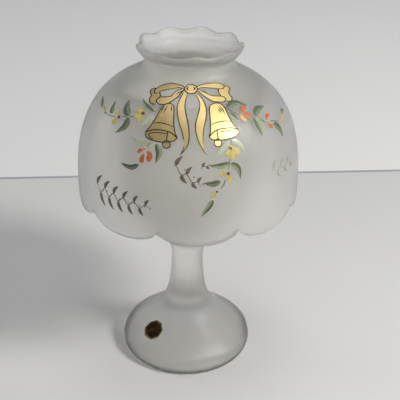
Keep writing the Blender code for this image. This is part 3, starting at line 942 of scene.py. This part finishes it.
def paint_bells(fill, draw):
    paint_bell(
        fill, draw,
        [(-15.0, 69.4), (-17.5, 69.0), (-19.4, 67.5), (-20.6, 64.4), (-21.3, 61.3), (-22.5, 58.1),
         (-24.1, 55.0), (-25.5, 52.5), (-25.3, 50.6), (-23.8, 49.4), (-20.0, 48.6), (-15.0, 48.4),
         (-10.6, 48.8), (-7.5, 49.7), (-5.9, 51.1), (-6.9, 52.8), (-7.8, 55.0), (-8.8, 58.1),
         (-9.4, 61.3), (-10.0, 65.0), (-10.9, 67.8), (-13.1, 69.3)],
        [(-22.4, 57.3), (-19.4, 57.9), (-16.5, 58.0), (-13.8, 57.8), (-8.8, 56.7)],
        [(-25.5, 52.4), (-21.3, 53.9), (-18.0, 54.3), (-15.0, 54.3), (-10.0, 53.6), (-6.0, 51.3)],
        [(-12.6, 52.9), (-18.1, 52.9), (-21.9, 52.3), (-23.2, 51.1), (-21.9, 49.8), (-20.0, 49.3)],
        [(-11.9, 53.8), (-11.9, 49.4)], (-11.7, 47.5), [[(-18.2, 67.9), (-19.0, 65.6), (-19.4, 63.1)],
         [(-15.8, 68.0), (-16.7, 65.6), (-17.3, 63.1)],
         [(-13.2, 68.3), (-12.2, 66.6), (-11.9, 64.8)]])
    paint_bell(
        fill, draw,
        [(20.6, 69.4), (23.1, 69.6), (25.6, 69.2), (27.8, 67.8), (28.8, 65.0), (29.0, 61.3), (29.7, 58.4),
         (30.9, 55.6), (32.7, 53.3), (32.4, 51.6), (29.4, 50.3), (25.0, 49.7), (20.0, 49.5), (15.6, 50.0),
         (13.4, 51.6), (14.4, 53.8), (15.0, 56.9), (15.5, 60.0), (15.9, 63.1), (16.6, 66.6),
         (18.1, 68.6)],
        [(15.3, 57.6), (19.4, 58.6), (23.8, 58.9), (26.8, 58.7), (29.6, 58.1)],
        [(13.6, 51.9), (16.3, 53.8), (20.0, 55.0), (25.0, 55.1), (29.4, 54.7), (32.6, 53.3)],
        [(20.0, 53.5), (25.0, 53.8), (29.2, 53.5), (30.3, 52.6), (29.4, 51.7)],
        [(18.7, 54.5), (18.6, 49.8)], (18.2, 48.3), [[(22.9, 66.0), (23.8, 64.8), (24.6, 63.2)],
         [(24.0, 67.2), (25.0, 65.6), (25.7, 63.8)],
         [(25.2, 67.8), (26.6, 65.2), (26.9, 62.0)]])


LEAVES = [
    # tip, belly, base, width, tone (0 pale, 1 mid, 2 dark), side of the dark half (none on pale)
    ((-39.7, 69.2), (-32.0, 65.2), (-24.6, 63.2), 3.3, 1, -1),
    ((-30.6, 53.6), (-27.4, 57.6), (-23.6, 61.4), 3.2, 0, 1),
    ((-50.1, 66.2), (-46.8, 60.9), (-41.8, 57.9), 4.2, 2, 1),
    ((-46.3, 47.6), (-41.3, 52.4), (-41.4, 57.2), 3.9, 2, -1),
    ((-62.3, 62.4), (-59.4, 57.6), (-56.8, 55.5), 3.2, 2, 1),
    ((-82.5, 59.0), (-77.0, 57.0), (-70.7, 54.9), 2.3, 1, -1),
    ((-34.3, 48.2), (-27.4, 45.9), (-21.6, 46.9), 2.8, 0, -1),
    ((-16.7, 37.6), (-15.4, 43.0), (-17.6, 47.4), 3.5, 1, -1),
    ((-37.3, 33.9), (-30.6, 33.3), (-26.1, 35.5), 2.7, 2, -1),
    ((48.2, 64.2), (39.6, 67.6), (30.2, 66.0), 4.0, 2, 1),
    ((36.0, 57.2), (32.8, 60.2), (30.4, 62.9), 3.2, 1, 1),
    ((63.0, 60.2), (55.4, 60.4), (49.6, 57.8), 4.1, 2, 1),
    ((48.6, 46.8), (48.9, 52.6), (48.0, 57.4), 4.6, 1, -1),
    ((67.0, 41.2), (66.0, 46.6), (62.4, 50.0), 4.0, 2, 1),
    ((85.2, 50.6), (81.8, 51.6), (78.4, 50.7), 3.0, 1, 1),
    ((15.8, 42.4), (21.0, 45.0), (25.6, 48.9), 2.8, 0, 1),
    ((33.9, 42.3), (31.2, 46.4), (26.8, 48.9), 2.6, 0, -1),
    ((11.7, 37.3), (18.4, 36.8), (23.9, 37.6), 3.1, 1, -1),
    ((29.2, 28.6), (28.2, 34.4), (24.2, 37.6), 3.1, 1, 1),
    ((9.0, 28.8), (13.8, 28.0), (18.0, 29.0), 3.1, 2, -1),
    ((7.6, 12.3), (11.6, 16.4), (13.9, 19.9), 2.9, 1, 1),
]

STEMS = [
    [(-24.8, 63.1), (-23.0, 64.6), (-21.0, 66.4)],
    [(-46.9, 56.6), (-44.6, 56.9), (-42.2, 56.9)],
    [(-62.6, 53.9), (-57.6, 54.1), (-51.6, 55.0)],
    [(-21.2, 47.4), (-22.3, 46.0), (-22.8, 44.2)],
    [(29.6, 66.6), (33.2, 63.1), (38.2, 60.5)],
    [(52.2, 55.4), (54.0, 53.8), (56.4, 52.4)],
    [(60.2, 52.2), (64.6, 50.8), (69.0, 49.3)],
    [(24.0, 40.2), (23.6, 37.4), (22.2, 34.2)],
    [(20.6, 29.6), (19.6, 27.2), (17.8, 25.0)],
    [(-41.6, 57.4), (-37.0, 58.6), (-33.6, 60.8)],
]

# A petal's start, belly, end and width
YELLOW_PETALS = [
    ((-32.9, 61.5), (-35.4, 62.5), (-38.4, 62.2), 2.0), ((-33.0, 60.9), (-35.6, 59.9), (-38.2, 58.4), 2.4),
    ((-32.4, 60.6), (-32.9, 58.6), (-33.3, 56.2), 2.4),
    ((-49.9, 56.0), (-52.2, 57.2), (-54.8, 56.9), 1.8), ((-49.6, 54.9), (-51.0, 53.2), (-52.4, 51.0), 2.9),
    ((-64.4, 54.5), (-67.0, 55.5), (-69.8, 55.8), 1.7),
    ((25.0, 44.4), (23.9, 43.0), (22.6, 41.2), 2.5), ((25.6, 44.0), (25.9, 41.8), (26.1, 39.0), 2.4),
    ((26.2, 44.6), (28.4, 43.4), (30.2, 41.2), 3.0),
    ((21.6, 32.7), (19.8, 33.2), (17.8, 31.6), 1.9), ((22.7, 31.9), (23.0, 30.0), (23.1, 27.8), 2.4),
    ((15.6, 23.4), (14.4, 22.4), (12.9, 20.5), 2.0),
    ((39.0, 60.9), (38.6, 60.0), (40.2, 59.6), 1.8), ((57.0, 52.6), (57.4, 51.8), (58.6, 52.0), 1.8),
    ((70.4, 48.4), (72.4, 48.2), (74.4, 48.9), 1.5),
]
RED_PETALS = [
    ((-24.6, 43.0), (-26.6, 42.8), (-27.8, 41.2), 1.9), ((-24.0, 41.6), (-24.6, 39.2), (-24.8, 36.6), 2.5),
    ((-22.4, 42.9), (-20.6, 41.2), (-21.0, 37.8), 2.9),
    ((39.4, 61.3), (42.6, 63.4), (46.6, 63.9), 2.4), ((40.4, 60.2), (43.6, 59.8), (46.9, 58.0), 2.8),
    ((57.8, 53.4), (60.0, 55.3), (63.0, 55.1), 2.3), ((57.4, 51.6), (58.4, 49.9), (60.6, 49.0), 2.3),
]
ORANGE_PETALS = [
    ((-23.2, 43.5), (-24.2, 43.9), (-25.6, 43.6), 1.2), ((37.6, 60.0), (38.6, 58.6), (41.8, 57.0), 1.8),
    ((74.0, 49.0), (76.0, 50.2), (78.2, 50.6), 1.5), ((24.2, 45.6), (25.4, 45.9), (26.8, 45.2), 1.3),
]
# The middle of a flower and its size
HEARTS = [(-32.2, 61.3, 1.9), (-49.2, 55.5, 1.8), (-63.7, 54.1, 1.3), (25.3, 44.9, 1.6),
          (22.4, 32.5, 1.7), (15.9, 23.9, 1.2)]


def paint_sprigs(tones, stem, shade_green, yellow, red, orange, heart):
    """Leaves with a darker half, their stems, and the flowers."""
    for tip, belly, base, width, tone, side in LEAVES:
        spine = [base, belly, tip]
        tones[tone].stroke(spine, width, "leaf", 9, across=4)
        if tone:
            shade_green.stroke(spine, width * 0.42, "leaf", 9, across=2, shift=0.52 * side)
    for spine in STEMS:
        stem.stroke(spine, 0.45, "line", 7)
    for paint, petals in ((yellow, YELLOW_PETALS), (red, RED_PETALS), (orange, ORANGE_PETALS)):
        for start, belly, end, width in petals:
            paint.stroke([start, belly, end], width, "petal", 7, across=4)
    for u, v, size in HEARTS:
        heart.dot(u, v, size)


def paint_vine(ink, start, end, leaves, size, width):
    """A pen-drawn vine: a waving stem with slanting leaves on both sides, smaller towards its end.

    Each leaf has a small dot across the stem from it.
    """
    (u1, v1), (u2, v2) = start, end
    stem = []
    for i in range(4 * leaves + 1):
        t = i / (4 * leaves)
        wave = 0.16 * size * sin(pi * leaves * t)
        stem.append((u1 + (u2 - u1) * t, v1 + (v2 - v1) * t + wave * (1 - 0.4 * t)))
    ink.stroke(stem, 0.42 * width, "line", 3)
    for i in range(leaves):
        t = (i + 0.5) / leaves
        reach = size * (1 - 0.5 * t)
        side = 1 if i % 2 == 0 else -1
        u, v = stem[4 * i + 2]
        k = girth_share(v)
        leaf = [(u, v), (u + 0.10 * reach / k, v + 0.30 * side * reach),
                (u + 0.42 * reach / k, v + 0.62 * side * reach)]
        ink.stroke(leaf, 2.0 * width * (1 - 0.3 * t), "leaf", 7)
        ink.dot(u + 0.55 * reach / k, v - 0.22 * side * reach, 0.62 * width)


# name, slot, look, mm that it stands above the glass
PAINTS = [
    ("gold_bow_and_bells", "fired_gold", "gold", 0.05),
    ("motif_outlines", "enamel", "outline", 0.10),
    ("leaves_pale", "enamel", "pale_green", 0.03),
    ("leaves_mid", "enamel", "mid_green", 0.04),
    ("leaves_dark", "enamel", "dark_green", 0.05),
    ("leaf_shading", "enamel", "shadow_green", 0.12),
    ("stems", "enamel", "shadow_green", 0.06),
    ("petals_yellow", "enamel", "yellow", 0.07),
    ("petals_red", "enamel", "red", 0.09),
    ("petals_orange", "enamel", "orange", 0.12),
    ("flower_hearts", "enamel", "heart", 0.15),
    ("pen_ornaments", "fired_gold", "ink", 0.04),
    ("pen_ornaments_right", "fired_gold", "faint_ink", 0.04),
]


def paint_all(looks):
    paints = [Paint(name, slot, looks[look], lift) for name, slot, look, lift in PAINTS]
    gold_fill, outline, pale, mid, dark, shading, stems, yellow, red, orange, hearts, ink, faint = paints
    paint_bow(gold_fill.area, outline.stroke)
    paint_bells(gold_fill.area, outline.stroke)
    paint_sprigs([pale, mid, dark], stems, shading, yellow, red, orange, hearts)
    paint_vine(ink, (-7.0, 37.2), (7.6, 27.4), 5, 8.5, 1.15)
    paint_vine(ink, (7.4, 35.8), (12.4, 38.4), 2, 4.0, 0.8)
    paint_vine(ink, (-55.0, 16.6), (-19.4, 14.4), 11, 9.5, 1.1)
    paint_vine(faint, (50.0, 27.2), (70.5, 26.8), 6, 7.5, 0.9)
    for paint in paints:
        paint.finish()


# Gold from its painted-shade tone to its painted-light tone, with mottling between
GOLD_SHADE_TO_LIGHT_STOPS = [(0.12, (0.30, 0.215, 0.11)), (0.5, (0.56, 0.42, 0.20)), (0.95, (0.84, 0.66, 0.29))]

# name, dark, light, and any unusual roughness
ENAMELS = {
    "outline": ("outline_brown", (0.006, 0.004, 0.002), (0.020, 0.012, 0.006), 0.75),
    "pale_green": ("enamel_pale_green", (0.36, 0.40, 0.25), (0.50, 0.53, 0.38)),
    "mid_green": ("enamel_mid_green", (0.225, 0.265, 0.13), (0.37, 0.41, 0.25)),
    "dark_green": ("enamel_dark_green", (0.13, 0.165, 0.085), (0.24, 0.28, 0.165)),
    "shadow_green": ("enamel_shadow_green", (0.050, 0.068, 0.040), (0.105, 0.135, 0.080)),
    "yellow": ("enamel_yellow", (0.46, 0.36, 0.055), (0.66, 0.56, 0.16)),
    "red": ("enamel_red", (0.40, 0.085, 0.022), (0.62, 0.19, 0.05)),
    "orange": ("enamel_orange", (0.62, 0.30, 0.06), (0.78, 0.45, 0.14)),
    "heart": ("enamel_heart", (0.10, 0.022, 0.006), (0.20, 0.05, 0.015)),
    "ink": ("ink_brown_gold", (0.11, 0.082, 0.055), (0.19, 0.15, 0.105), 0.45),
    "faint_ink": ("ink_faint_gold", (0.36, 0.32, 0.26), (0.46, 0.42, 0.36), 0.45),
}


# ---- stage


CAMERA_PLACE = (7.05 * MM, -416.0 * MM, 320.06 * MM)
CAMERA_DOWN = 28.035  # degrees below the horizon
CAMERA_ROLL = 1.19  # degrees
CAMERA_LENS = 72.711  # mm, on a sensor 36 mm wide

SHEET_REACH = 3.0
FOLD_Y = 0.234  # where the floor's far sheet starts to rise
FOLD_TURN = 5.2  # how far the fold is turned out of square, degrees
SWEEP_RISE = 15.0  # degrees
SWEEP_RUN = 1.3
SWEEP_BEND = 0.8  # radius of the turn up to the upright part

# name, place, size, what it is aimed at, watts, colour
LIGHTS = [
    ("window", (0.66, -0.33, 0.70), (0.22, 0.22), (0.0, 0.0, 0.1), 6.8, (1.0, 0.985, 0.95)),
    ("overhead", (0.05, 0.02, 1.2), (0.6, 0.4), (0.0, 0.0, 0.1), 2.3, (1.0, 0.995, 0.98)),
    ("left_strip", (-0.60, 0.17, 0.25), (0.07, 0.45), (0.0, 0.0, 0.14), 0.45, (1.0, 1.0, 1.0)),
]
WORLD_COLOR = (0.93, 0.95, 1.0, 1.0)
WORLD_STRENGTH = 0.34


def plain(name, color, grain):
    """Matt paper with the faintest clouding."""
    look = Look(name, 0.85)
    look.colors(look.noise(grain, 2.0), [(0.3, tuple(c * 0.985 for c in color)), (0.7, color)])
    return look.material


def make_stage():
    """A floor whose far sheet rises gently from a fold behind the lamp, and much later turns up."""
    slant = tan(radians(FOLD_TURN))
    bend = (FOLD_Y + SWEEP_RUN, SWEEP_RUN * tan(radians(SWEEP_RISE)) + SWEEP_BEND)
    far = arc(bend, SWEEP_BEND, SWEEP_RISE - 90, 0, 8)

    def sheet(name, rows, color, grain):
        """A sheet from rows of (y, z), all slanted as the fold is."""
        verts = [(x, y + x * slant, z) for y, z in rows for x in (-SHEET_REACH, SHEET_REACH)]
        faces = [(2 * i, 2 * i + 1, 2 * i + 3, 2 * i + 2) for i in range(len(rows) - 1)]
        mesh = mesh_of(name, verts, faces)
        shade_faces(mesh, True)
        mesh.materials.append(plain(name + "_paper", color, grain))
        placed(name, mesh)

    sheet("floor", [(-SHEET_REACH, 0.0), (FOLD_Y, 0.0)], (0.66, 0.655, 0.645), 9.0)
    sheet("backdrop", [(FOLD_Y, 0.0)] + far + [(far[-1][0], SHEET_REACH)], (0.76, 0.755, 0.75), 7.0)
    # the fold's dark strip is painted shade: a shade line along the fold, as in a crease where a floor
    # meets a wall
    sheet("fold", [(FOLD_Y - 2.2 * MM, 0.3 * MM), (FOLD_Y + 0.4 * MM, 0.5 * MM)], (0.40, 0.41, 0.44), 7.0)


def make_lights():
    for name, place, size, aim, watts, color in LIGHTS:
        data = bpy.data.lights.new(name, "AREA")
        data.shape = "RECTANGLE"
        data.size, data.size_y = size
        data.energy = watts
        data.color = color
        obj = placed(name, data)
        obj.location = place
        obj.rotation_euler = (Vector(aim) - Vector(place)).to_track_quat("-Z", "Y").to_euler()
        obj.visible_camera = False
    world = bpy.data.worlds.new("studio")
    world.use_nodes = True
    background = world.node_tree.nodes["Background"].inputs
    background["Color"].default_value = WORLD_COLOR
    background["Strength"].default_value = WORLD_STRENGTH
    bpy.context.scene.world = world
    bpy.context.scene.view_settings.view_transform = "Standard"


def make_camera():
    data = bpy.data.cameras.new("view")
    data.lens = CAMERA_LENS
    data.sensor_width = 36.0
    data.clip_start, data.clip_end = 0.02, 20.0
    camera = placed("view", data)
    camera.location = CAMERA_PLACE
    down = Matrix.Rotation(radians(90 - CAMERA_DOWN), 3, "X")
    roll = Matrix.Rotation(radians(CAMERA_ROLL), 3, "Z")
    camera.rotation_euler = (down @ roll).to_euler()
    bpy.context.scene.camera = camera


def main():
    make_camera()
    make_shade(frosted_glass("satin_glass_shade"))
    make_pedestal(frosted_glass("satin_glass_pedestal"))
    make_seal(metal("dark_foil", (0.010, 0.006, 0.003), (0.060, 0.036, 0.014), 0.20, 0.36, 700.0),
              metal("gold_foil", (0.045, 0.028, 0.010), (0.34, 0.25, 0.11), 0.20, 0.30, 260.0))
    make_tealight(metal("bright_aluminium", (0.78, 0.78, 0.79), (0.86, 0.86, 0.87), 0.22, 0.36, 500.0),
                  metal("tinned_steel", (0.50, 0.50, 0.50), (0.66, 0.66, 0.65), 0.30, 0.45, 800.0),
                  waxy("paraffin"), cotton("waxed_cotton"))
    looks = {"gold": gold("burnished_gold", GOLD_SHADE_TO_LIGHT_STOPS, 0.48),
             **{key: enamel(*row) for key, row in ENAMELS.items()}}
    paint_all(looks)
    make_stage()
    make_lights()


main()
